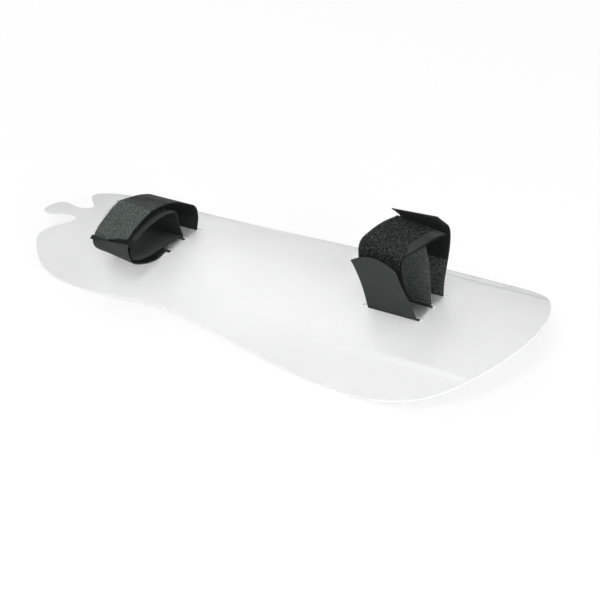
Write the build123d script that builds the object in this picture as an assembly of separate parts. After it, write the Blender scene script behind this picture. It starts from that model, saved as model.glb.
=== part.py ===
from build123d import *
import os
from math import asin, atan2, cos, degrees, radians, sin, sqrt, tan

# A strap-on splash guard for a bicycle's down tube: an arched plastic sheet and two hook-and-loop straps.
# Millimetres. X runs from the tongue to the wide end, Y to the left side, Z up. It lies straps up.

# Outline of the sheet, seen from above: the places that the left half passes through
WIDE_END_X = 200.0
WIDE_CORNER_X = 167.0
WIDE_CORNER_Y = 74.5
WIDEST_X = 95.0
WIDEST_Y = 90.3
FLANK_X = -5.0
FLANK_Y = 74.0
WAIST_X = -72.0
WAIST_Y = 66.3
LOBE_X = -127.0
LOBE_Y = 68.8
LOBE_CORNER_X = -178.0
LOBE_CORNER_Y = 52.0
LOBE_TIP_X = -188.0
LOBE_TIP_Y = 33.5

# Tongue between the lobes, and the notches beside it
TONGUE_NECK_X = -180.0
TONGUE_NECK_Y = 5.8
TONGUE_HEAD_REACH = 14.5
TONGUE_HEAD_X = TONGUE_NECK_X - TONGUE_HEAD_REACH
TONGUE_HEAD_Y = 9.6
TONGUE_TIP_REACH = 10.5
TONGUE_TIP_X = TONGUE_HEAD_X - TONGUE_TIP_REACH
NOTCH_REACH = 7.5
NOTCH_X = TONGUE_NECK_X + NOTCH_REACH
NOTCH_Y = 9.5
NOTCH_FLANK_X = -179.0
NOTCH_FLANK_Y = 20.5

# Stations along the sheet: X, radius of the arch, fall of the crest and angle of the two folds
STATIONS = [
    (-215.0, 205.0, 3.8, 0.0),
    (-130.0, 139.0, 0.0, 0.0),
    (-40.0, 159.0, 0.0, 0.0),
    (60.0, 184.0, 0.0, 2.0),
    (140.0, 207.0, 0.0, 5.0),
    (215.0, 231.0, 0.0, 5.0),
]
SHEET_THICKNESS = 1.0
FOLD_Y = 57.0
BLANK_MARGIN = 15.0

# Straps and their slots
TAPE_WIDTH = 38.0
TAPE_THICKNESS = 1.2
TAPE_GAP = 0.3
NARROW_STRAP_X = -103.5
WIDE_STRAP_X = 101.5
SLOT_PITCH = 18.5
SLOT_PLAY = 0.5
SLOT_END_PLAY = 4.5
SLOT_WIDTH = 2 * (TAPE_THICKNESS + TAPE_GAP + SLOT_PLAY)
SLOT_LENGTH = TAPE_WIDTH + 2 * SLOT_END_PLAY
TIGHT_BEND = 1.25 * TAPE_THICKNESS
LARGEST_BEND = 16.0
RUN_SHARE = 0.45
SLOT_ENTRY = 2.2

# Corners of the tapes, seen along X. Each has its distance to the left of the crest and its height above it,
# halfway across the tape, and how far the tape's wide-end edge is moved left and up from its other edge.
WIDE_LOOP = [
    (-26.8, 20.0, -5.0, 1.0), (-36.0, 39.0, -9.0, 0.0), (-37.5, 57.0, -11.5, 1.0),
    (-13.5, 54.5, -3.0, -4.0), (6.5, 52.0, 3.0, -5.2), (23.0, 47.6, 0.0, -5.0),
]
WIDE_RIGHT_FLAP = [(-28.8, 19.5, -5.0, 1.0), (-39.4, 38.0, -7.4, 1.0), (-45.5, 53.0, -11.0, 5.0)]
WIDE_INNER_LEG = [(-7.5, 52.8, 0.0, -4.5), (-0.9, 31.0, 0.0, 0.0)]
WIDE_LEFT_FLAP = [
    (19.0, 8.0, 0.0, 0.0), (28.2, 34.0, 0.0, 0.0), (28.4, 48.0, 0.0, 0.0), (12.0, 62.0, -5.5, 5.5),
]
NARROW_LOOP = [
    (-17.0, 3.8, -2.0, 0.0), (-44.0, 5.2, -2.0, 0.0), (-58.5, 12.0, -8.0, -1.0),
    (-59.8, 21.3, -11.5, 2.5), (-46.7, 27.0, -10.5, 1.0), (-24.5, 30.2, -5.0, 1.0),
    (-4.5, 24.6, 0.0, 1.0), (-3.5, 14.5, 0.0, 0.0),
]
NARROW_RIGHT_FLAP = [(-SLOT_PITCH, 0.5, 0.0, 0.0), (-32.0, -1.9, 0.0, 0.0), (-47.5, 2.6, -2.0, 0.0)]
NARROW_RIGHT_END = (-62.5, 22.5, -6.5, 7.8)
NARROW_LEFT_FLAP = [
    (22.0, 8.0, 0.0, 0.0), (19.5, 17.6, 0.0, 0.0), (6.0, 24.5, 0.0, 1.5),
    (-9.0, 29.4, 0.0, 2.5), (-24.5, 32.0, -4.0, 1.5),
]


def arch_radius(x):
    """Radius of the arch at a place along the sheet."""
    for (x0, radius0, _, _), (x1, radius1, _, _) in zip(STATIONS, STATIONS[1:]):
        if x0 <= x <= x1:
            return radius0 + (radius1 - radius0) * (x - x0) / (x1 - x0)


def skin_point(turn, depth, radius, fall, fold):
    """Point of a cross-section, at an angle from the crest and a depth below the top skin."""
    crease = asin(FOLD_Y / radius)
    angle = abs(turn)
    across = radius * sin(angle)
    height = radius * cos(angle)
    normal = angle
    if angle > crease:
        normal = angle + fold
        across = radius * (sin(crease) + sin(normal) - sin(crease + fold))
        height = radius * (cos(crease) + cos(normal) - cos(crease + fold))
    elif angle == crease:
        normal = angle + fold / 2
    across -= depth * sin(normal)
    height -= radius + fall + depth * cos(normal)
    return (across if turn > 0 else -across, height)


def arch_section(x, radius, fall, fold_degrees):
    """Closed cross-section of the blank: a middle arc with a folded wing on each side, one sheet thick."""
    fold = radians(fold_degrees)
    crease = asin(FOLD_Y / radius)
    rim = asin((WIDEST_Y + BLANK_MARGIN) / radius)
    spans = [(-rim, -crease), (-crease, crease), (crease, rim)]

    def point(turn, depth):
        return (x, *skin_point(turn, depth, radius, fall, fold))

    edges = []
    for depth in (0, SHEET_THICKNESS):
        for start, end in spans:
            middle = (start + end) / 2
            edges.append(ThreePointArc(*[point(turn, depth) for turn in (start, middle, end)]))
    for turn in (-rim, rim):
        edges.append(Line(point(turn, 0), point(turn, SHEET_THICKNESS)))
    return make_face(edges)


def sheet_outline():
    """Outline of the sheet from above: a tongue between two lobes, a waist and a rounded wide end."""
    left = [
        (TONGUE_HEAD_X, TONGUE_HEAD_Y), (TONGUE_NECK_X, TONGUE_NECK_Y), (NOTCH_X, NOTCH_Y),
        (NOTCH_FLANK_X, NOTCH_FLANK_Y), (LOBE_TIP_X, LOBE_TIP_Y), (LOBE_CORNER_X, LOBE_CORNER_Y),
        (LOBE_X, LOBE_Y), (WAIST_X, WAIST_Y), (FLANK_X, FLANK_Y), (WIDEST_X, WIDEST_Y),
        (WIDE_CORNER_X, WIDE_CORNER_Y),
    ]
    right = [(x, -y) for x, y in reversed(left)]
    return make_face(Spline((TONGUE_TIP_X, 0), *left, (WIDE_END_X, 0), *right, periodic=True))


def strap_slots():
    """Three slots along X for each strap, which leave two strips to wrap the tape round."""
    places = [(x, y) for x in (NARROW_STRAP_X, WIDE_STRAP_X) for y in (-SLOT_PITCH, 0, SLOT_PITCH)]
    return Locations(*places) * SlotOverall(SLOT_LENGTH, SLOT_WIDTH)


def guard_sheet():
    """The arched sheet, cut to its outline and slotted."""
    blank = loft([arch_section(*station) for station in STATIONS])
    cutter = extrude(sheet_outline() - strap_slots(), amount=WIDEST_Y, both=True)
    return blank & cutter


def beside(corners, distance):
    """Corners of a line that runs at a distance from another, to the left of its direction."""
    points = [complex(*corner) for corner in corners]
    ways = [(b - a) / abs(b - a) for a, b in zip(points, points[1:])]
    moved = []
    for point, before, after in zip(points, ways[:1] + ways, ways + ways[-1:]):
        middle = (before + after) / abs(before + after)
        lean = (middle * before.conjugate()).real
        moved.append(point + 1j * middle * distance / lean)
    return [(point.real, point.imag) for point in moved]


def bend(before, corner, after, largest):
    """Radius and turn of a bend: the radius is as large as the runs beside the corner leave room for."""
    run_in = complex(*corner) - complex(*before)
    run_out = complex(*after) - complex(*corner)
    way = run_out / run_in
    turn = atan2(way.imag, way.real)
    radius = RUN_SHARE * min(abs(run_in), abs(run_out)) / tan(abs(turn) / 2)
    return min(largest, radius), turn


def tape_edge(x, corners, tight_corners):
    """Edge face of a tape, one tape thick, along a route of straight runs and bends; the first are tight."""
    half = TAPE_THICKNESS / 2
    ends = []
    sides = []
    for way in (1, -1):
        radii = []
        for index, (before, corner, after) in enumerate(zip(corners, corners[1:], corners[2:])):
            largest = TIGHT_BEND if index < tight_corners else LARGEST_BEND
            radius, turn = bend(before, corner, after, largest)
            radii.append(radius - way * half if turn > 0 else radius + way * half)
        points = [(x, across, height) for across, height in beside(corners, way * half)]
        sides.append(FilletPolyline(*points, radius=radii))
        ends.append((points[0], points[-1]))
    caps = [Line(left, right) for left, right in zip(*ends)]
    return make_face(sides + caps)


def tape(x, route, tight_corners=0):
    """A flat tape between its two edges; a route gives the corners at one edge, -1, or the other, 1."""
    edges = [tape_edge(x + edge * TAPE_WIDTH / 2, route(edge), tight_corners) for edge in (-1, 1)]
    return loft(edges, ruled=True)


def at_edge(corner, edge):
    """Place of a corner at one edge of its tape."""
    across, height, across_shift, height_shift = corner
    return (across + edge * across_shift / 2, height + edge * height_shift / 2)


def at_edges(corners, edge):
    """Places of several corners at one edge of their tape."""
    return [at_edge(corner, edge) for corner in corners]


def strip_wrap(x, side):
    """Corners of a tape that goes down the middle slot, under a strip and to the outer slot."""
    leg = side * (TAPE_THICKNESS / 2 + TAPE_GAP)
    under = -(SHEET_THICKNESS + TAPE_THICKNESS / 2 + TAPE_GAP)
    radius = arch_radius(x)
    fall = radius - sqrt(radius ** 2 - SLOT_PITCH ** 2)
    return [(leg, SLOT_ENTRY), (leg, under), (side * SLOT_PITCH, under - fall)]


def halfway(first, second):
    """Point halfway between two points."""
    return tuple((a + b) / 2 for a, b in zip(first, second))


def strap(x, loop_corners, right_flap, left_flap, inner_leg=()):
    """Loop tape and two hook ends of a strap. The left end goes on from the loop, or has a leg inside it."""
    right_wrap = strip_wrap(x, -1)
    left_wrap = strip_wrap(x, 1)

    def loop(edge):
        return at_edges(loop_corners, edge)

    def right_seam(edge):
        return halfway(right_wrap[0], loop(edge)[0])

    def left_seam(edge):
        return halfway(left_wrap[0], loop(edge)[-1])

    def loop_route(edge):
        last = [] if inner_leg else [left_seam(edge)]
        return [right_seam(edge), *loop(edge), *last]

    def right_route(edge):
        outside = beside(loop(edge), TAPE_THICKNESS + TAPE_GAP)
        return [right_seam(edge), *right_wrap, *right_flap(outside, edge)]

    def left_route(edge):
        first = at_edges(inner_leg, edge) if inner_leg else [left_seam(edge), left_wrap[0]]
        return [*first, *left_wrap[1:], *at_edges(left_flap, edge)]

    wrap_bends = len(right_wrap)
    return tape(x, loop_route), tape(x, right_route, wrap_bends), tape(x, left_route, wrap_bends)


def wide_strap():
    """The strap at the wide end: a tall loop, its right end folded out, its left end lifted off the top."""
    def right_flap(outside, edge):
        return at_edges(WIDE_RIGHT_FLAP, edge)

    return strap(WIDE_STRAP_X, WIDE_LOOP, right_flap, WIDE_LEFT_FLAP, WIDE_INNER_LEG)


def narrow_strap():
    """The strap at the narrow end: a low loop that leans to the right, its left end laid over the top."""
    def right_flap(outside, edge):
        return [*at_edges(NARROW_RIGHT_FLAP, edge), *outside[2:4], at_edge(NARROW_RIGHT_END, edge)]

    return strap(NARROW_STRAP_X, NARROW_LOOP, right_flap, NARROW_LEFT_FLAP)


def resting_tilt(sheet):
    """Angle that brings the lobes and the wings to one level, so that both rest on the floor."""
    narrow_half = split(sheet, bisect_by=Plane.YZ, keep=Keep.BOTTOM)
    wide_half = split(sheet, bisect_by=Plane.YZ, keep=Keep.TOP)
    step = narrow_half.bounding_box().min.Z - wide_half.bounding_box().min.Z
    return degrees(atan2(step, WIDEST_X - LOBE_X))


sheet = guard_sheet()
wide_tapes = wide_strap()
narrow_tapes = narrow_strap()
nodes = {
    "guard_sheet": sheet,
    "wide_strap_loop_tape": wide_tapes[0],
    "wide_strap_right_hook_end": wide_tapes[1],
    "wide_strap_left_hook_end": wide_tapes[2],
    "narrow_strap_loop_tape": narrow_tapes[0],
    "narrow_strap_right_hook_end": narrow_tapes[1],
    "narrow_strap_left_hook_end": narrow_tapes[2],
}

# The whole part leans to its resting tilt and stands with the middle of its box at the origin
lean = Rot(0, -resting_tilt(sheet), 0)
nodes = {name: lean * piece for name, piece in nodes.items()}
box = Compound(children=[Part(piece.wrapped) for piece in nodes.values()]).bounding_box()
ground = Pos(-box.center().X, -box.center().Y, -box.min.Z)

os.makedirs("parts", exist_ok=True)
for name, piece in nodes.items():
    export_step(ground * piece, f"parts/{name}.step")
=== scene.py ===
from collections import namedtuple
from math import cos, pi, radians, sin, sqrt

import bpy
import numpy as np
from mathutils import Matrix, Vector


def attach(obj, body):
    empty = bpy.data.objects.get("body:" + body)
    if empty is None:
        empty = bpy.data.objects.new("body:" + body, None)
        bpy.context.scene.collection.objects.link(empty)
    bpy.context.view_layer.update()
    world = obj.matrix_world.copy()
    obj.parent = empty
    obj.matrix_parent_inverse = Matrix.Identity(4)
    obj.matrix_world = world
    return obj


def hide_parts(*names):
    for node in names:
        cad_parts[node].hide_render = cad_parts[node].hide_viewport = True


# A strap-on splash guard for a bicycle's down tube: a frosted plastic sheet and two hook-and-loop straps.
# Sizes are millimetres of the drawing, where X runs from the tongue to the wide end, Y to the left and Z up.
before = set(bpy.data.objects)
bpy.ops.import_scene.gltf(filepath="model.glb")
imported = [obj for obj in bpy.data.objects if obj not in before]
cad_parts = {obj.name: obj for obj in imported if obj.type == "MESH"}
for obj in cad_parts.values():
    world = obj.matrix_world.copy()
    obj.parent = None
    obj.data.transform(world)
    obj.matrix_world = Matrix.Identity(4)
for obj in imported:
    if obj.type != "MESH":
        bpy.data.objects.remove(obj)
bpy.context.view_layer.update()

# From the drawing to the frame: the part leans to its rest, and the middle of its crest comes to lie here
MM = 0.001
LEAN = radians(1.752)
CREST_AT_MIDDLE = (2.669, 0.0, 23.429)

# Sheet: its thickness, and the radius of its arch at each strap
SHEET_THICKNESS = 1.0
NARROW_ARCH_RADIUS = 145.0
WIDE_ARCH_RADIUS = 195.0

# Cut faces look less up or down than the steepest skin, and their own piece lies over them by a standoff
STEEPEST_SKIN = 0.6
EDGE_STANDOFF = 0.04

# Tones of the sheet at rest: where each is at nought and where it is at full, along the sheet or across it
# These tones are painted shade on the ends and near wing, and a painted highlight along each fold
NARROW_END_UNSHADED = (-143.75, -81.25)
WIDE_END_UNSHADED = (311.1, 88.9)
NEAR_WING = (-47.5, -72.5)
BROAD_PART = (-50.0, 33.3)
FOLDED_PART = (58.3, 141.7)
FOLD_LINE = (57.5, 62.5)
FOLD_STEP = 1.4
WING_PAINTED_SHADE = 0.45
DARKEST_PAINTED_TONE = 0.86

# Straps: the tape, its way through the slots, and the steps of its mesh
TAPE_WIDTH = 38.0
TAPE_LAYER = 1.2
TAPE_GAP = 0.3
NARROW_STRAP_X = -103.5
WIDE_STRAP_X = 101.5
SLOT_PITCH = 18.5
SLOT_ENTRY = 2.2
TIGHT_BEND = 1.5
RUN_SHARE = 0.48
ROW_STEP = 0.7
FEWEST_BEND_STEPS = 6
COLUMNS = 25
RIM_POINTS = 3
WEB_THICKNESS = 0.8
WEB_OFFSET = (TAPE_LAYER - WEB_THICKNESS) / 2
WEB_TOP = WEB_THICKNESS / 2 - WEB_OFFSET

# Edges of a mesh that bend by more than an angle, in degrees, look sharp
SHARP_ANGLE = 50.0
NEVER_SHARP = 180.0

# Corners of the tapes: left of the crest, height above it, and how far the wide-end edge is moved left and up
WIDE_LOOP = [
    (-26.8, 20.0, -5.0, 1.0), (-36.0, 39.0, -9.0, 0.0), (-37.5, 57.0, -11.5, 1.0),
    (-13.5, 54.5, -3.0, -4.0), (6.5, 52.0, 3.0, -5.2), (23.0, 47.6, 0.0, -5.0),
]
WIDE_RIGHT_FLAP = [(-28.8, 19.5, -5.0, 1.0), (-39.4, 38.0, -7.4, 1.0), (-46.2, 55.2, -11.5, 5.0)]
WIDE_INNER_LEG = [(-7.5, 52.6, 0.0, -4.5), (-0.9, 31.0, 0.0, 0.0)]
WIDE_LEFT_FLAP = [
    (19.0, 8.0, 0.0, 0.0), (28.2, 34.0, 0.0, 0.0), (28.4, 48.0, 0.0, 0.0), (12.0, 62.0, -5.5, 5.5),
]
NARROW_LOOP = [
    (-17.0, 3.8, -2.0, 0.0), (-44.0, 5.2, -2.0, 0.0), (-58.5, 12.0, -8.0, -1.0),
    (-59.8, 21.3, -11.5, 2.5), (-46.7, 27.0, -10.5, 1.0), (-24.5, 30.2, -5.0, 1.0),
    (-4.5, 24.6, 0.0, 1.0), (-3.5, 14.5, 0.0, 0.0),
]
NARROW_RIGHT_FLAP = [(-SLOT_PITCH, 0.5, 0.0, 0.0), (-32.0, -1.9, 0.0, 0.0), (-47.5, 2.6, -2.0, 0.0)]
NARROW_RIGHT_END = (-62.5, 22.5, -6.5, 7.8)
NARROW_LEFT_FLAP = [
    (22.0, 8.0, 0.0, 0.0), (19.5, 17.6, 0.0, 0.0), (6.0, 24.5, 0.0, 1.5),
    (-9.0, 29.4, 0.0, 2.5), (-24.5, 32.0, -4.0, 1.5),
]
Strap = namedtuple("Strap", "loop right left")

# Free ends: how the wide strap's right end curls, and how far back the narrow strap's left end is drawn in
RIGHT_END_CURL = {"reach": 30.0, "left": 2.5, "middle": 0.0, "right": 0.5, "droop": 6.0}
TAPER_REACH = 42.0

# Pile: its margins, the step of its mesh, its rounded edge, and its body and lumps as shares of its height
PILE_LEFT_MARGIN = 0.8
PILE_NEAR_MARGIN = 0.3
PILE_END_MARGIN = 3.0
PILE_STEP = 0.45
PILE_EDGE = 1.2
PILE_SINK = 0.1
PILE_BODY = 0.75
PILE_LUMP = 0.35
LUMP_CELLS_AND_WEIGHTS = ((9, 0.25), (4, 0.35), (2, 0.4))
BARE_MARGIN_RUN = 12.0

# Pile that runs on over the end of a flap: its gap before the end, and the height of its body and lumps
FLAP_GAP = 1.0
FLAP_PILE_BODY = 0.45
FLAP_PILE_LUMP = 0.4

# How the pile lies on a loop tape: it starts at a place along it, and sooner at its left edge by the slant.
# It rises towards its end, and its fibres and its bare right margin have starts of their own.
PileLay = namedtuple("PileLay", "height rise start slant fibres_from bare_from margin")
WIDE_PILE = PileLay(
    height=1.0, rise=0.0, start=7.0, slant=0.0, fibres_from=46.0, bare_from=60.0, margin=8.5)
NARROW_PILE = PileLay(
    height=1.3, rise=3.1, start=65.0, slant=11.0, fibres_from=65.0, bare_from=0.0, margin=6.5)

# Nylon loops that stand out of the pile or fringe an end: how dense, and the least and most of their sizes
FIBRES_PER_MM2 = 2.0
FIBRE_SHARE_OF_PILE = (0.7, 1.0)
FIBRE_OVER_PILE = (0.0, 0.7)
FRINGE_REACH = 24.0
FRINGE_HEIGHT = (0.15, 0.7)
LOOP_HALF_SPAN = (0.35, 0.8)
LOOP_HALF_WIDTH = (0.05, 0.09)
LOOP_LEAN = 0.45
LOOP_POINTS = 7
WIDE_SEED = 11
NARROW_SEED = 12

# Hooks: the field of them, and the profile of one, along the tape and out of it, as shares of its height
HOOKED_LENGTH = 45.0
HOOK_MARGIN = 2.5
HOOK_PITCH = 1.5
HOOK_HEIGHT = 1.1
HOOK_HALF_WIDTH = 0.1
HOOK_PROFILE = [(0.0, 0.0), (0.0, 0.55), (0.12, 0.88), (0.38, 1.0), (0.6, 0.82), (0.62, 0.6)]
HEADING_STEP = 0.5

# Linings: stretches of one side of a tape with a look of their own, as the painted light on the wide leg and
# foot
Lining = namedtuple("Lining", "material side start end")
LEG_LENGTH = 52.5
FOOT_START = 74.0

# Painted shade in a material: the black that it comes to, and how steeply the sides of a painted shadow line
# do
DEEPEST_BLACK = (0.002, 0.002, 0.002, 1)
SHADOW_LINE_SHARPNESS = 4.0

# Even light from all round, and lamps that point at the origin, with places and sizes in metres
Lamp = namedtuple("Lamp", "name place size power")
SURROUND = 0.65
LAMPS = [
    Lamp("key", (0.3, -1.2, 2.0), 1.0, 21.0),
    Lamp("fill", (-1.2, 1.0, 1.5), 1.4, 7.0),
    Lamp("side", (1.3, -0.9, 0.6), 0.6, 8.0),
]

# Floor: its size in metres, and how white it looks by itself, straight on and through the sheet
FLOOR_SIZE = 12.0
FLOOR_WHITE = 0.7
FLOOR_WHITE_THROUGH = 0.95

# View of the photograph: a long lens that looks down on the guard from its right side
VIEW_AZIMUTH = radians(30.991)
VIEW_ELEVATION = radians(31.138)
VIEW_DISTANCE = 1579.92
VIEW_SHIFT_RIGHT = -15.94
VIEW_SHIFT_UP = 5.37
LENS = 132.0
SENSOR = 36.0


def to_frame(points):
    """Points of the drawing, in millimetres, as they lie at rest, in metres."""
    x, y, z = np.moveaxis(np.asarray(points, float), -1, 0)
    leaned = np.stack([x * cos(LEAN) - z * sin(LEAN), y, x * sin(LEAN) + z * cos(LEAN)], axis=-1)
    return (leaned + CREST_AT_MIDDLE) * MM


def unit(vectors):
    """Vectors of length one."""
    return vectors / np.linalg.norm(vectors, axis=-1, keepdims=True)


def between(values, row, column, row_share, column_share):
    """Values between the points of a grid: at a row and a column, and shares of the way to the next ones."""
    first = values[row, column] * (1 - column_share) + values[row, column + 1] * column_share
    second = values[row + 1, column] * (1 - column_share) + values[row + 1, column + 1] * column_share
    return first * (1 - row_share) + second * row_share


# Routes of the tapes, seen along X. An array of corners has one row of points for each edge of the tape.

def edges_of(corners):
    """Corners at the two edges of a tape."""
    across, height, across_shift, height_shift = np.array(corners, float).T
    return np.array([
        np.stack([across + way * across_shift / 2, height + way * height_shift / 2], axis=-1)
        for way in (-1, 1)
    ])


def beside(corners, distance):
    """Corners of a line that runs at a distance from another, to the left of its direction."""
    ways = unit(np.diff(corners, axis=1))
    before = np.concatenate([ways[:, :1], ways], axis=1)
    after = np.concatenate([ways, ways[:, -1:]], axis=1)
    middle = unit(before + after)
    lean = np.sum(middle * before, axis=-1, keepdims=True)
    left = np.stack([-middle[..., 1], middle[..., 0]], axis=-1)
    return corners + left * distance / lean


def bent_line(corners, tight_corners):
    """Points along both edges of a route of runs and bends, of which those at some corners are tight."""
    points = [corners[:, 0]]
    for index in range(1, corners.shape[1] - 1):
        before, corner, after = (corners[:, index + step] for step in (-1, 0, 1))
        run_in = np.linalg.norm(corner - before, axis=-1, keepdims=True)
        run_out = np.linalg.norm(after - corner, axis=-1, keepdims=True)
        reach = RUN_SHARE * np.minimum(run_in, run_out)
        if index in tight_corners:
            reach = np.minimum(reach, TIGHT_BEND)
        start = corner - (corner - before) / run_in * reach
        end = corner + (after - corner) / run_out * reach
        add_run(points, start)
        steps = max(FEWEST_BEND_STEPS, int(np.ceil(2 * reach.mean() / ROW_STEP)))
        for share in np.linspace(0, 1, steps + 1)[1:]:
            points.append((1 - share) ** 2 * start + 2 * share * (1 - share) * corner + share ** 2 * end)
    add_run(points, corners[:, -1])
    return np.stack(points, axis=1)


def add_run(points, end):
    """Adds a straight run from the last point to an end."""
    start = points[-1]
    length = np.linalg.norm(end - start, axis=-1).mean()
    for share in np.linspace(0, 1, max(1, round(length / ROW_STEP)) + 1)[1:]:
        points.append(start + share * (end - start))


def strip_wrap(arch_radius, side):
    """Corners of a tape that goes down the middle slot, under a strip and to the outer slot."""
    leg = side * (TAPE_LAYER / 2 + TAPE_GAP)
    under = -(SHEET_THICKNESS + TAPE_LAYER / 2 + TAPE_GAP)
    fall = arch_radius - sqrt(arch_radius ** 2 - SLOT_PITCH ** 2)
    return [(leg, SLOT_ENTRY, 0, 0), (leg, under, 0, 0), (side * SLOT_PITCH, under - fall, 0, 0)]


def join(*routes):
    """One route out of several."""
    return np.concatenate(routes, axis=1)


def halfway(first, second):
    """Corner halfway between two."""
    return (first + second) / 2


class Tape:
    """A flat tape: a grid of points, its normals to the left of its route, and the distance along it."""

    def __init__(self, x, corners, tight_corners=()):
        lines = bent_line(corners, tight_corners)
        across = np.linspace(0, 1, COLUMNS)
        flat = lines[0][:, None] * (1 - across)[None, :, None] + lines[1][:, None] * across[None, :, None]
        places = np.broadcast_to(x + (across - 0.5) * TAPE_WIDTH, flat.shape[:2])
        self.grid = np.concatenate([places[..., None], flat], axis=-1)
        self.across = across * TAPE_WIDTH
        self.measure()

    def measure(self):
        """Works out the normals and the distance along the tape."""
        along = unit(np.gradient(self.grid, axis=0))
        self.side = unit(np.gradient(self.grid, axis=1))
        self.normal = unit(np.cross(self.side, along))
        middle = self.grid[:, COLUMNS // 2]
        steps = np.linalg.norm(np.diff(middle, axis=0), axis=-1)
        self.along = np.concatenate([[0], np.cumsum(steps)])
        self.length = self.along[-1]

    def curl(self, reach, left, middle, right, droop):
        """Lifts the free end off its line at its two corners and its middle, and lets the corners droop."""
        share = self.across / TAPE_WIDTH * 2 - 1
        lift = middle + (right - left) / 2 * share + ((right + left) / 2 - middle) * share ** 2
        pull = np.clip(1 - (self.length - self.along) / reach, 0, 1) ** 2
        ends = unit(np.gradient(self.grid, axis=0))
        self.grid = self.grid + self.normal * (pull[:, None] * lift[None])[..., None]
        self.grid = self.grid - ends * (pull[:, None] * droop * share[None] ** 2)[..., None]
        self.measure()

    def taper(self, reach, amount):
        """Draws the wide-end edge in over a reach from the free end, fully over its last three quarters."""
        pull = np.clip((reach - (self.length - self.along)) / (reach / 4), 0, 1)
        self.grid[..., 0] -= amount * pull[:, None] * (self.across / TAPE_WIDTH)[None]
        self.measure()

    def at(self, along, across, height):
        """Points at places on the tape, a height to the left of it, and the normals there."""
        rows = np.interp(along, self.along, np.arange(len(self.along)))
        columns = np.interp(across, self.across, np.arange(COLUMNS))
        row = np.clip(rows.astype(int), 0, len(self.along) - 2)
        column = np.clip(columns.astype(int), 0, COLUMNS - 2)
        shares = (rows - row)[..., None], (columns - column)[..., None]
        normal = unit(between(self.normal, row, column, *shares))
        return between(self.grid, row, column, *shares) + normal * np.asarray(height)[..., None], normal


def strap_tapes(x, arch_radius, loop, right_flap, left_flap, inner_leg=None):
    """The tapes of a strap; its left end goes on from the loop, or starts with a leg inside the loop."""
    right_wrap = edges_of(strip_wrap(arch_radius, -1))
    left_wrap = edges_of(strip_wrap(arch_radius, 1))
    right_seam = halfway(right_wrap[:, :1], loop[:, :1])
    left_seam = halfway(left_wrap[:, :1], loop[:, -1:])
    right_route = join(right_seam, right_wrap, right_flap)
    wrap_corners = (1, 2, 3)
    if inner_leg is None:
        loop_route = join(right_seam, loop, left_seam)
        left_route = join(left_seam, left_wrap, left_flap)
        left_tight = wrap_corners
    else:
        loop_route = join(right_seam, loop)
        left_route = join(inner_leg, left_wrap[:, 1:], left_flap)
        left_tight = wrap_corners[1:]
    return Strap(Tape(x, loop_route), Tape(x, right_route, wrap_corners), Tape(x, left_route, left_tight))


def wide_strap():
    """The strap at the wide end: a tall loop, its right end folded out, its left end lifted off the top."""
    loop, right_flap, left_flap, inner_leg = (
        edges_of(corners) for corners in (WIDE_LOOP, WIDE_RIGHT_FLAP, WIDE_LEFT_FLAP, WIDE_INNER_LEG))
    strap = strap_tapes(WIDE_STRAP_X, WIDE_ARCH_RADIUS, loop, right_flap, left_flap, inner_leg)
    strap.right.curl(**RIGHT_END_CURL)
    return strap


def narrow_strap():
    """The strap at the narrow end: a low loop that leans to the right, its left end laid over the top."""
    loop = edges_of(NARROW_LOOP)
    outside = beside(loop, TAPE_LAYER + TAPE_GAP)
    right_flap = join(edges_of(NARROW_RIGHT_FLAP), outside[:, 2:4], edges_of([NARROW_RIGHT_END]))
    strap = strap_tapes(NARROW_STRAP_X, NARROW_ARCH_RADIUS, loop, right_flap, edges_of(NARROW_LEFT_FLAP))
    strap.left.taper(TAPER_REACH, NARROW_PILE.margin)
    return strap


# Meshes

def mesh_object(name, points, faces, material, uv=None, sharp=SHARP_ANGLE):
    """A mesh piece that rides on the part."""
    mesh = bpy.data.meshes.new(name)
    mesh.from_pydata(to_frame(points).tolist(), [], faces)
    if uv is not None:
        layer = mesh.uv_layers.new(name="UVMap")
        corners = np.zeros(len(mesh.loops), int)
        mesh.loops.foreach_get("vertex_index", corners)
        layer.data.foreach_set("uv", (uv[corners] * MM).astype(np.float32).ravel())
    mesh.shade_smooth()
    mesh.set_sharp_from_angle(angle=radians(sharp))
    mesh.materials.append(material)
    piece = bpy.data.objects.new(name, mesh)
    bpy.context.scene.collection.objects.link(piece)
    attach(piece, "root")
    return piece


def grid_faces(rows, columns, closed=False):
    """Four-sided faces of a grid of points, whose last column may meet its first."""
    faces = []
    for row in range(rows - 1):
        low, high = row * columns, (row + 1) * columns
        for column in range(columns if closed else columns - 1):
            after = (column + 1) % columns
            faces.append((low + column, low + after, high + after, high + column))
    return faces


def ribbons(name, lines, breadth, material):
    """Narrow ribbons along rows of points, a breadth to each side of them."""
    count, steps = lines.shape[:2]
    points = np.stack([lines - breadth, lines + breadth], axis=2).reshape(-1, 3)
    per_ribbon = 2 * steps
    faces = [
        (first, first + 1, first + 3, first + 2)
        for start in range(0, count * per_ribbon, per_ribbon)
        for first in range(start, start + per_ribbon - 2, 2)
    ]
    return mesh_object(name, points, faces, material, sharp=NEVER_SHARP)


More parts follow.
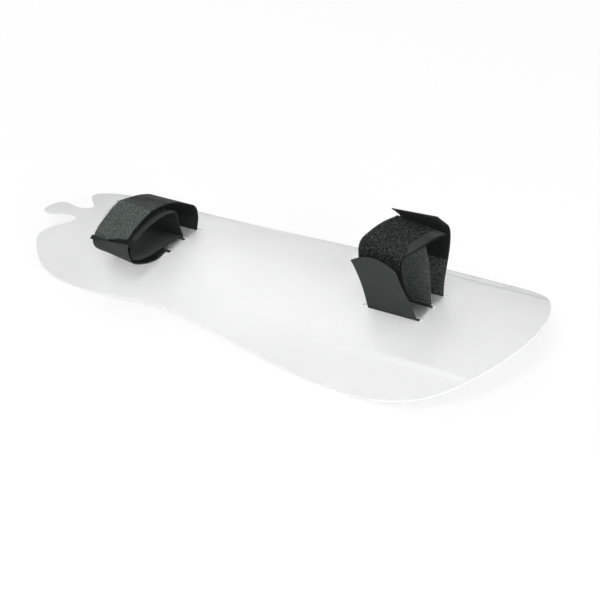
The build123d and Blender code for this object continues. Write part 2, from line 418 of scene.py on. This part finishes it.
def web(name, tape, material, offset, linings):
    """The woven tape itself: a closed band with rounded edges and linings on its sides."""
    half = WEB_THICKNESS / 2
    rows = len(tape.along)
    turns = np.linspace(0, pi, RIM_POINTS + 2)[1:-1]
    middle = tape.grid + tape.normal * offset
    top = middle + tape.normal * half
    under = middle - tape.normal * half

    def rim(column, way):
        normal = tape.normal[:, column, None]
        side = tape.side[:, column, None] * way
        return middle[:, column, None] + half * (
            normal * np.cos(turns)[None, :, None] + side * np.sin(turns)[None, :, None])

    ring = np.concatenate([top, rim(COLUMNS - 1, 1), under[:, ::-1], rim(0, -1)[:, ::-1]], axis=1)
    around = ring.shape[1]
    across = np.concatenate([
        tape.across, np.full(RIM_POINTS, TAPE_WIDTH), tape.across[::-1], np.zeros(RIM_POINTS)])
    uv = np.stack(np.broadcast_arrays(across[None], tape.along[:, None]), axis=-1).reshape(-1, 2)
    last = (rows - 1) * around
    end_faces = [tuple(range(around - 1, -1, -1)), tuple(range(last, last + around))]
    faces = grid_faces(rows, around, closed=True) + end_faces
    piece = mesh_object(name, ring.reshape(-1, 3), faces, material, uv)
    first_columns = {"left": 0, "right": COLUMNS + RIM_POINTS}
    for index, lining in enumerate(linings, start=1):
        piece.data.materials.append(lining.material)
        first = first_columns[lining.side]
        for row in range(*np.searchsorted(tape.along, (lining.start, lining.end))):
            for column in range(first, first + COLUMNS - 1):
                piece.data.polygons[row * around + column].material_index = index
    return piece


def smooth_noise(shape, cell, rng):
    """A seeded field of smooth lumps, from -1 to 1, a cell of grid points wide."""
    values = rng.uniform(-1, 1, [int(size / cell) + 3 for size in shape])
    rows = np.arange(shape[0])[:, None] / cell
    columns = np.arange(shape[1])[None] / cell
    row, column = rows.astype(int), columns.astype(int)
    shares = (share ** 2 * (3 - 2 * share) for share in (rows - row, columns - column))
    return between(values, row, column, *shares)


def pile(name, tape, material, lay, end, flap, rng):
    """The brushed pile on the outside of a loop tape: a lumpy pad that may run on over the end of a flap."""
    share = np.linspace(0, 1, round((TAPE_WIDTH - PILE_LEFT_MARGIN) / PILE_STEP))
    part = np.linspace(0, 1, round((end - lay.start) / PILE_STEP))[:, None]
    start = lay.start - lay.slant * (1 - share)
    along = start + part * (end - start)
    width = pile_width(along, lay)
    across = PILE_LEFT_MARGIN + share * width
    rows = len(part) + (round(FRINGE_REACH / PILE_STEP) if flap else 0)
    shape = (rows, len(share))
    lumps = sum(smooth_noise(shape, cell, rng) * weight for cell, weight in LUMP_CELLS_AND_WEIGHTS)
    on_loop, on_flap = lumps[:len(part)], lumps[len(part):]
    inward = np.minimum(np.minimum(share, 1 - share) * width, along - start)
    if not flap:
        inward = np.minimum(inward, end - along)
    height = lay.height * (PILE_BODY + PILE_LUMP * on_loop) * rounded(inward) + pile_rise(along, lay, end)
    points, _ = tape.at(along, across, WEB_TOP + (height - PILE_SINK))
    if flap:
        past, flap_across, flap_points = pile_on_flap(flap, share, on_flap)
        along = np.concatenate([along, end + past])
        across = np.concatenate([across, flap_across])
        points = np.concatenate([points, flap_points])
    uv = np.stack([across, along], axis=-1).reshape(-1, 2)
    return mesh_object(name, points.reshape(-1, 3), grid_faces(*shape), material, uv, sharp=NEVER_SHARP)


def pile_on_flap(flap, share, lumps):
    """Pile on a flap, thinner away from its end: distances past the loop's pile, places across, points."""
    rest = np.linspace(0, 1, len(lumps))[:, None]
    past = np.broadcast_to(FRINGE_REACH * rest, lumps.shape)
    across = np.broadcast_to(PILE_LEFT_MARGIN + share * (TAPE_WIDTH - 2 * PILE_LEFT_MARGIN), lumps.shape)
    rim = rounded(np.minimum(share, 1 - share) * TAPE_WIDTH)
    height = (FLAP_PILE_BODY + FLAP_PILE_LUMP * lumps) * (1 - rest) * rim - PILE_SINK
    points, _ = flap.at(flap.length - past, across, -TAPE_LAYER / 2 - height)
    return past, across, points


def rounded(inward):
    """Rise of the pile's edge, from 0 to 1, by the distance inward."""
    return np.clip(inward / PILE_EDGE, 0, 1) ** 0.5


def pile_width(along, lay):
    """Width of the pile: it leaves a bare margin at the wide-end edge from a place along the tape on."""
    bare = np.clip((along - lay.bare_from) / BARE_MARGIN_RUN, 0, 1)
    return TAPE_WIDTH - PILE_LEFT_MARGIN - PILE_NEAR_MARGIN - (lay.margin - PILE_NEAR_MARGIN) * bare


def pile_rise(along, lay, end):
    """How far the pile has risen towards its end."""
    return lay.rise * np.clip((along - lay.start) / (end - lay.start), 0, 1)


def end_on(loop, flap):
    """How far along a loop tape the free end of a flap lies on it."""
    tip = flap.grid[-1, COLUMNS // 2]
    return loop.along[np.argmin(np.linalg.norm(loop.grid[:, COLUMNS // 2] - tip, axis=-1))]


def fibres(name, tape, material, lay, end, rng):
    """Small nylon loops that stand out of the pile."""
    count = int((TAPE_WIDTH - PILE_LEFT_MARGIN - lay.margin) * (end - lay.fibres_from) * FIBRES_PER_MM2)
    share = rng.random(count)
    start = lay.fibres_from - lay.slant * (1 - share)
    along = start + (end - start) * rng.random(count)
    across = PILE_LEFT_MARGIN + pile_width(along, lay) * share
    base, normal = tape.at(along, across, WEB_TOP + pile_rise(along, lay, end))
    height = lay.height * rng.uniform(*FIBRE_SHARE_OF_PILE, count) + rng.uniform(*FIBRE_OVER_PILE, count)
    return nylon_loops(name, base, normal, height, material, rng)


def fringe(name, tape, material, rng):
    """Nylon loops on the outside of a left end, most of them close to its free end."""
    count = int(TAPE_WIDTH * FRINGE_REACH * FIBRES_PER_MM2 / 2)
    along = tape.length - FRINGE_REACH * rng.random(count) ** 2
    across = PILE_LEFT_MARGIN + (TAPE_WIDTH - 2 * PILE_LEFT_MARGIN) * rng.random(count)
    base, normal = tape.at(along, across, -TAPE_LAYER / 2)
    height = rng.uniform(*FRINGE_HEIGHT, count)
    return nylon_loops(name, base, -normal, height, material, rng)


def nylon_loops(name, base, normal, height, material, rng):
    """Small leaning loops, each a narrow ribbon."""
    count = len(base)
    half_span = rng.uniform(*LOOP_HALF_SPAN, count)
    heading = rng.uniform(0, 2 * pi, count)
    side = unit(np.cross(normal, (1.0, 0.0, 0.0)))
    other = np.cross(normal, side)
    out = side * np.cos(heading)[:, None] + other * np.sin(heading)[:, None]
    flat = np.cross(normal, out)
    lean = unit(rng.normal(size=(count, 3))) * LOOP_LEAN
    half_width = rng.uniform(*LOOP_HALF_WIDTH, count)
    turns = np.linspace(0, pi, LOOP_POINTS)
    rise = np.sin(turns)[None, :, None]
    run = -np.cos(turns)[None, :, None]
    lines = (base[:, None] + out[:, None] * run * half_span[:, None, None]
             + (normal + lean)[:, None] * rise * height[:, None, None])
    return ribbons(name, lines, flat[:, None] * half_width[:, None, None], material)


def hooks(name, tape, material, way):
    """Rows of small hooks on the gripping side of a hook end, which point to and fro by turns."""
    along = np.arange(tape.length - HOOKED_LENGTH, tape.length - HOOK_MARGIN, HOOK_PITCH)
    across = np.arange(HOOK_MARGIN, TAPE_WIDTH - HOOK_MARGIN, HOOK_PITCH)
    along, across = (places.ravel() for places in np.meshgrid(along, across, indexing="ij"))
    base, normal = tape.at(along, across, 0.0)
    ahead, _ = tape.at(along + HEADING_STEP, across, 0.0)
    heading = unit(ahead - base) * np.where(np.arange(len(base)) % 2, 1, -1)[:, None]
    flat = np.cross(normal, heading)
    normal = normal * way
    base = base + normal * WEB_TOP
    profile = np.array(HOOK_PROFILE) * HOOK_HEIGHT
    lines = base[:, None] + heading[:, None] * profile[None, :, :1] + normal[:, None] * profile[None, :, 1:]
    return ribbons(name, lines, flat[:, None] * HOOK_HALF_WIDTH, material)


def cut_edges(name, sheet, material):
    """The cut faces round the sheet and its slots, laid just over the solid's own, white partly from the cut
    and partly as a painted highlight.
    """
    mesh = sheet.data
    steep = [polygon for polygon in mesh.polygons if abs(polygon.normal.z) < STEEPEST_SKIN]
    out = {}
    for polygon in steep:
        for vertex in polygon.vertices:
            out[vertex] = out.get(vertex, Vector()) + polygon.normal * polygon.area
    order = {vertex: index for index, vertex in enumerate(out)}
    points = [mesh.vertices[vertex].co + way.normalized() * EDGE_STANDOFF * MM for vertex, way in out.items()]
    edges = bpy.data.meshes.new(name)
    edges.from_pydata(points, [], [[order[vertex] for vertex in polygon.vertices] for polygon in steep])
    edges.shade_smooth()
    edges.materials.append(material)
    piece = bpy.data.objects.new(name, edges)
    piece.matrix_world = sheet.matrix_world
    bpy.context.scene.collection.objects.link(piece)
    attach(piece, "root")
    return piece


# Materials

def new_material(name, **sockets):
    """A material with a plain shader whose even values are set on its own sockets."""
    material = bpy.data.materials.new(name)
    material.use_nodes = True
    shader = material.node_tree.nodes["Principled BSDF"]
    for socket, amount in sockets.items():
        shader.inputs[socket.replace("_", " ")].default_value = amount
    return material, material.node_tree, shader


def node(tree, kind, **settings):
    """A shader node with some of its properties and inputs set."""
    made = tree.nodes.new(kind)
    for key, setting in settings.items():
        if hasattr(made, key):
            setattr(made, key, setting)
        else:
            made.inputs[key.replace("_", " ")].default_value = setting
    return made


def placed(tree, kind, vector, **settings):
    """A shader node that reads a vector."""
    made = node(tree, kind, **settings)
    tree.links.new(vector, made.inputs["Vector"])
    return made


def axis(tree, vector, letter):
    """One coordinate of a vector."""
    return placed(tree, "ShaderNodeSeparateXYZ", vector).outputs[letter]


def ramp(tree, source, low, high, low_colour, high_colour):
    """A colour between two, by a value that goes from low to high."""
    made = tree.nodes.new("ShaderNodeValToRGB")
    for element, position, colour in zip(made.color_ramp.elements, (low, high), (low_colour, high_colour)):
        element.position = position
        element.color = (*colour, 1)
    tree.links.new(source, made.inputs["Fac"])
    return made.outputs["Color"]


def value(tree, operation, *inputs, clamp=False):
    """The outcome of a sum on numbers or on other nodes' values."""
    made = node(tree, "ShaderNodeMath", operation=operation, use_clamp=clamp)
    for socket, given in zip(made.inputs, inputs):
        if isinstance(given, (int, float)):
            socket.default_value = given
        else:
            tree.links.new(given, socket)
    return made.outputs["Value"]


def fade(tree, source, places):
    """A value that goes from 0 at one place to 1 at another, by a distance that a node gives in metres."""
    start, end = places
    slope = 1 / ((end - start) * MM)
    return value(tree, "MULTIPLY_ADD", source, slope, -start * MM * slope, clamp=True)


def dimmed(tree, colour, share):
    """Painted shade: a colour made darker by a value from 1, as it is, to 0, black."""
    mix = node(tree, "ShaderNodeMix", data_type="RGBA", blend_type="MIX")
    dark, light = (socket for socket in mix.inputs if socket.type == "RGBA")
    dark.default_value = DEEPEST_BLACK
    tree.links.new(colour, light)
    tree.links.new(share, mix.inputs["Factor"])
    return next(socket for socket in mix.outputs if socket.type == "RGBA")


def toned(tree, colour, along, tones):
    """Painted light and shade along a tape: a colour dimmed by pairs of a distance along it and a share."""
    share = tones[0][1]
    for (start, before), (end, after) in zip(tones, tones[1:]):
        share = value(tree, "MULTIPLY_ADD", fade(tree, along, (start, end)), after - before, share)
    return dimmed(tree, colour, share)


def raised(tree, shader, height, **settings):
    """Makes a shader's surface look raised by a height."""
    bump = node(tree, "ShaderNodeBump", **settings)
    tree.links.new(height, bump.inputs["Height"])
    tree.links.new(bump.outputs["Normal"], shader.inputs["Normal"])


def frosted_plastic():
    """Translucent sheet with a fine haze, painted shade that greys its ends and near wing, and a painted
    highlight along each fold.
    """
    material, tree, shader = new_material(
        "frosted_plastic", Roughness=0.42, IOR=1.49, Transmission_Weight=0.75)
    place = node(tree, "ShaderNodeTexCoord").outputs["Object"]
    haze = placed(tree, "ShaderNodeTexNoise", place, Scale=40.0, Detail=4.0)
    colour = ramp(tree, haze.outputs["Fac"], 0.35, 0.7, (0.945, 0.95, 0.947), (0.972, 0.975, 0.973))
    along = axis(tree, place, "X")
    across = axis(tree, place, "Y")
    # Painted shade greys the ends and the near wing; clear is the share of the sheet left unshaded
    ends = value(tree, "MINIMUM", fade(tree, along, NARROW_END_UNSHADED), fade(tree, along, WIDE_END_UNSHADED))
    wing = value(tree, "MULTIPLY", fade(tree, across, NEAR_WING), fade(tree, along, BROAD_PART))
    clear = value(tree, "MINIMUM", ends, value(tree, "MULTIPLY_ADD", wing, -WING_PAINTED_SHADE, 1.0))
    # Painted highlight: a narrow line just outside each fold lifts the painted shade to full
    folded = fade(tree, along, FOLDED_PART)
    step = fade(tree, value(tree, "ABSOLUTE", across), FOLD_LINE)
    off_line = value(tree, "ABSOLUTE", value(tree, "SUBTRACT", step, 0.5))
    line = value(tree, "MULTIPLY", value(tree, "MULTIPLY_ADD", off_line, -2.0, 1.0), folded)
    tone = value(tree, "MULTIPLY_ADD", value(tree, "MAXIMUM", clear, line), 1 - DARKEST_PAINTED_TONE, DARKEST_PAINTED_TONE)
    tree.links.new(dimmed(tree, colour, tone), shader.inputs["Base Color"])
    drop = value(tree, "MULTIPLY", step, folded)
    raised(tree, shader, drop, Strength=1.0, Distance=FOLD_STEP * MM, invert=True)
    return material


def cut_plastic():
    """Cut faces of the sheet, light grey-white: partly whitened by the cutter, partly a painted highlight
    where they catch light.
    """
    material, tree, shader = new_material("cut_plastic", Roughness=0.55)
    place = node(tree, "ShaderNodeTexCoord").outputs["Object"]
    marks = placed(tree, "ShaderNodeTexNoise", place, Scale=300.0, Detail=2.0)
    # Partly a painted highlight: the cut faces are an opaque light grey-white
    colour = ramp(tree, marks.outputs["Fac"], 0.3, 0.7, (0.78, 0.785, 0.78), (0.84, 0.845, 0.84))
    tree.links.new(colour, shader.inputs["Base Color"])
    return material


def woven_tape(name, dark, light, shadow_line=(), tones=()):
    """Black nylon tape with a fine weave, a painted shadow line, by its place and width, and painted tones of
    light and shade along it.
    """
    material, tree, shader = new_material(
        name, Roughness=0.75, Specular_IOR_Level=0.12, Sheen_Weight=0.03, Sheen_Roughness=0.5)
    place = node(tree, "ShaderNodeUVMap").outputs["UV"]
    weft, warp = (
        placed(tree, "ShaderNodeTexWave", place, Scale=scale, bands_direction=way, Distortion=0.6, Detail=1.0)
        for scale, way in ((900.0, "Y"), (700.0, "X")))
    threads = value(tree, "MULTIPLY", weft.outputs["Fac"], warp.outputs["Fac"])
    colour = ramp(tree, threads, 0.0, 0.8, dark, light)
    # Painted shadow: a dark line at a place across the tape, beside a gap that lies in shade
    if shadow_line:
        middle, width = shadow_line
        away = value(tree, "ABSOLUTE", value(tree, "SUBTRACT", axis(tree, place, "X"), middle * MM))
        clear = value(tree, "DIVIDE", away, width * MM, clamp=True)
        colour = dimmed(tree, colour, value(tree, "POWER", clear, SHADOW_LINE_SHARPNESS))
    # Painted light and shade along the tape
    if tones:
        colour = toned(tree, colour, axis(tree, place, "Y"), tones)
    tree.links.new(colour, shader.inputs["Base Color"])
    raised(tree, shader, threads, Strength=0.35, Distance=0.2 * MM)
    return material


def brushed_pile(name, dark, light, low=0.35, high=0.7, tones=()):
    """Black nylon loops, matt with a soft sheen, with painted tones of light and shade along the tape."""
    material, tree, shader = new_material(
        name, Roughness=0.85, Specular_IOR_Level=0.1, Sheen_Weight=0.04, Sheen_Roughness=0.6)
    place = node(tree, "ShaderNodeTexCoord").outputs
    lumps = placed(tree, "ShaderNodeTexNoise", place["Object"], Scale=850.0, Detail=3.0)
    colour = ramp(tree, lumps.outputs["Fac"], low, high, dark, light)
    # Painted light and shade along the tape
    if tones:
        colour = toned(tree, colour, axis(tree, place["UV"], "Y"), tones)
    tree.links.new(colour, shader.inputs["Base Color"])
    return material


def tape_materials():
    """The looks of the straps, by the names of their pieces or the parts of a tape."""
    hook_web = woven_tape("hook_web", (0.026, 0.032, 0.0305), (0.048, 0.059, 0.0565))
    # Painted shadow lines: on the wide loop's right edge, seen behind its right end, and beside the narrow
    # pile's right edge
    wide_shadow_line = (TAPE_WIDTH, 1.2)
    narrow_shadow_line = (TAPE_WIDTH - NARROW_PILE.margin + 1.3, 2.4)
    return {
        # Painted light: the wide loop web is lighter from 90 to 104 mm along and on, where the left end
        # overhangs it
        "wide_strap_loop_web": woven_tape(
            "loop_web", (0.057, 0.065, 0.063), (0.135, 0.15, 0.147), wide_shadow_line, [(90, 0.36), (104, 1)]),
        "wide_strap_right_web": hook_web,
        "wide_strap_left_web": woven_tape("wide_flap_web", (0.032, 0.039, 0.038), (0.06, 0.074, 0.071)),
        # Painted shade: the wide pile is near black up to 44 mm along, in the gap behind the right end
        "wide_strap_pile": brushed_pile(
            "wide_pile", (0.002, 0.0024, 0.0022), (0.026, 0.0286, 0.027), 0.45, 0.58, [(44, 0.1), (50, 1)]),
        "wide_strap_fibre": brushed_pile(
            "wide_pile_fibre", (0.003, 0.0036, 0.0033), (0.13, 0.143, 0.135), 0.48, 0.6),
        # Painted shade: the narrow loop web is darker up to 65 mm along, below where its pile starts
        "narrow_strap_loop_web": woven_tape(
            "narrow_loop_web", (0.022, 0.026, 0.025), (0.052, 0.062, 0.059), narrow_shadow_line,
            [(57, 0.12), (65, 0.12), (68, 0.6)]),
        "narrow_strap_right_web": hook_web,
        # Painted shade on the narrow strap's left end, which lies over the top: a darker copy of the hook
        # tape
        "narrow_strap_left_web": woven_tape(
            "narrow_flap_painted_shade", (0.011, 0.0132, 0.0124), (0.023, 0.028, 0.026)),
        # Painted light: the narrow pile and its fibres are lighter copies of the wide ones; the pile's fades
        # from 93 to 112 mm
        "narrow_strap_pile": brushed_pile(
            "narrow_pile_painted_light", (0.03, 0.036, 0.033), (0.1, 0.12, 0.11), tones=[(93, 1), (112, 0.3)]),
        "narrow_strap_fibre": brushed_pile("narrow_fibre_painted_light", (0.07, 0.086, 0.077), (0.25, 0.3, 0.28)),
        # Painted shade: the fringe on the narrow left end is darkened with it
        "narrow_strap_fringe": brushed_pile("narrow_fringe_painted_shade", (0.012, 0.0145, 0.013), (0.041, 0.049, 0.045)),
        # Painted shade: the inside of each loop darkens from 75 to 100 mm along, under its top
        "loop_inside": woven_tape(
            "loop_inside", (0.031, 0.037, 0.036), (0.073, 0.087, 0.083), tones=[(75, 1), (100, 0.4)]),
        "hook_ground": woven_tape("hook_ground", (0.008, 0.0098, 0.0095), (0.015, 0.0185, 0.0178)),
        # Painted light on the wide strap's inner leg in the loop, and on its left end's inner face below the
        # loop top's shadow
        "lining": brushed_pile("leg_painted_light", (0.045, 0.055, 0.052), (0.117, 0.137, 0.131)),
        "foot_painted_light": brushed_pile("foot_painted_light", (0.014, 0.017, 0.0163), (0.068, 0.081, 0.077), 0.38, 0.64),
        "hook": brushed_pile("hook_nylon", (0.01, 0.0115, 0.0112), (0.045, 0.05, 0.049)),
    }


def floor_material():
    """A pale floor that looks white and keeps a soft shadow."""
    material = bpy.data.materials.new("pale_floor")
    material.use_nodes = True
    tree = material.node_tree
    tree.nodes.clear()
    output = node(tree, "ShaderNodeOutputMaterial")
    diffuse = node(tree, "ShaderNodeBsdfDiffuse", Color=(0.9, 0.9, 0.9, 1))
    glow = node(tree, "ShaderNodeEmission", Color=(1, 1, 1, 1), Strength=1.0)
    mix = node(tree, "ShaderNodeMixShader")
    rays = node(tree, "ShaderNodeLightPath").outputs
    seen = value(tree, "MAXIMUM", rays["Is Camera Ray"], rays["Is Glossy Ray"])
    straight = value(tree, "MULTIPLY", seen, FLOOR_WHITE)
    through = value(tree, "MULTIPLY", rays["Is Transmission Ray"], FLOOR_WHITE_THROUGH)
    tree.links.new(value(tree, "MAXIMUM", straight, through), mix.inputs["Fac"])
    tree.links.new(diffuse.outputs["BSDF"], mix.inputs[1])
    tree.links.new(glow.outputs["Emission"], mix.inputs[2])
    tree.links.new(mix.outputs["Shader"], output.inputs["Surface"])
    return material


# Pieces of the straps

def loop_pieces(name, strap, lay, materials, rng, fringed):
    """The loop tape of a strap: its web, its pile, which may run on over the left end, and its fibres."""
    loop = strap.loop
    inside = Lining(materials["loop_inside"], "right", 0, loop.length)
    loop_web = web(name + "_loop_web", loop, materials[name + "_loop_web"], -WEB_OFFSET, [inside])
    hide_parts(name + "_loop_tape")
    end = end_on(loop, strap.left) - FLAP_GAP if fringed else loop.length - PILE_END_MARGIN
    flap = strap.left if fringed else None
    pad = pile(name + "_pile", loop, materials[name + "_pile"], lay, end, flap, rng)
    fuzz = fibres(name + "_pile_fibres", loop, materials[name + "_fibre"], lay, end, rng)


def hook_end_pieces(name, side, tape, materials, linings, fringe_rng=None):
    """A hook end of a strap: its web, its hooks and, where random draws for it are given, a fringe."""
    way = 1 if side == "left" else -1
    ground = Lining(materials["hook_ground"], side, tape.length - HOOKED_LENGTH, tape.length)
    web_name = f"{name}_{side}_web"
    band = web(web_name, tape, materials[web_name], -way * WEB_OFFSET, [ground, *linings])
    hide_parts(f"{name}_{side}_hook_end")
    loose = [hooks(f"{name}_{side}_hooks", tape, materials["hook"], way)]
    if fringe_rng:
        loose.append(fringe(name + "_fringe", tape, materials[name + "_fringe"], fringe_rng))


def wide_strap_pieces(materials):
    """All the pieces of the wide strap, whose left end has a leg and a foot with linings of painted light."""
    rng = np.random.default_rng(WIDE_SEED)
    strap = wide_strap()
    # The leg's and the foot's linings are painted light
    leg = Lining(materials["lining"], "right", 0, LEG_LENGTH)
    foot = Lining(materials["foot_painted_light"], "left", FOOT_START, strap.left.length - HOOKED_LENGTH)
    loop_pieces("wide_strap", strap, WIDE_PILE, materials, rng, fringed=False)
    hook_end_pieces("wide_strap", "right", strap.right, materials, [])
    hook_end_pieces("wide_strap", "left", strap.left, materials, [leg, foot])


def narrow_strap_pieces(materials):
    """All the pieces of the narrow strap, whose left end has a fringe."""
    rng = np.random.default_rng(NARROW_SEED)
    strap = narrow_strap()
    loop_pieces("narrow_strap", strap, NARROW_PILE, materials, rng, fringed=True)
    hook_end_pieces("narrow_strap", "right", strap.right, materials, [])
    hook_end_pieces("narrow_strap", "left", strap.left, materials, [], rng)


def dress_sheet():
    """The sheet's plastic and its cut edges, whitened partly by the cut and partly as a painted highlight."""
    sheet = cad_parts["guard_sheet"]
    plastic = frosted_plastic()
    for slot in sheet.material_slots:
        slot.material = plastic
    cut_edges("sheet_cut_edges", sheet, cut_plastic())


# Floor, light and camera

def lay_floor():
    """A plain floor, which isn't part of the object."""
    bpy.ops.mesh.primitive_plane_add(size=FLOOR_SIZE)
    floor = bpy.context.object
    floor.name = "floor"
    floor.data.materials.append(floor_material())


def studio_world():
    """An even pale surround, which looks white itself, in reflections and through the sheet."""
    world = bpy.data.worlds.new("studio")
    bpy.context.scene.world = world
    world.use_nodes = True
    tree = world.node_tree
    background = tree.nodes["Background"]
    background.inputs["Color"].default_value = (1, 1, 1, 1)
    rays = node(tree, "ShaderNodeLightPath").outputs
    seen = value(tree, "MAXIMUM", rays["Is Camera Ray"], rays["Is Glossy Ray"])
    seen = value(tree, "MAXIMUM", seen, rays["Is Transmission Ray"])
    strength = value(tree, "MULTIPLY_ADD", seen, 1 - SURROUND, SURROUND)
    tree.links.new(strength, background.inputs["Strength"])


def hang_lamp(lamp):
    """A soft square lamp that points at the origin."""
    data = bpy.data.lights.new(lamp.name, "AREA")
    data.size = lamp.size
    data.energy = lamp.power
    piece = bpy.data.objects.new(lamp.name, data)
    piece.location = lamp.place
    piece.rotation_euler = (-Vector(lamp.place)).to_track_quat("-Z", "Y").to_euler()
    bpy.context.scene.collection.objects.link(piece)


def set_camera():
    """The photograph's view."""
    ahead = Vector((-sin(VIEW_AZIMUTH) * cos(VIEW_ELEVATION), cos(VIEW_AZIMUTH) * cos(VIEW_ELEVATION),
                    -sin(VIEW_ELEVATION)))
    right = Vector((cos(VIEW_AZIMUTH), sin(VIEW_AZIMUTH), 0))
    up = right.cross(ahead)
    data = bpy.data.cameras.new("camera")
    data.lens = LENS
    data.sensor_width = SENSOR
    camera = bpy.data.objects.new("camera", data)
    camera.location = -(ahead * VIEW_DISTANCE + right * VIEW_SHIFT_RIGHT + up * VIEW_SHIFT_UP) * MM
    camera.rotation_euler = ahead.to_track_quat("-Z", "Y").to_euler()
    bpy.context.scene.collection.objects.link(camera)
    bpy.context.scene.camera = camera


# The part, and then what stands round it
looks = tape_materials()
wide_strap_pieces(looks)
narrow_strap_pieces(looks)
dress_sheet()
lay_floor()
studio_world()
for lamp in LAMPS:
    hang_lamp(lamp)
set_camera()
bpy.context.scene.view_settings.view_transform = "Standard"
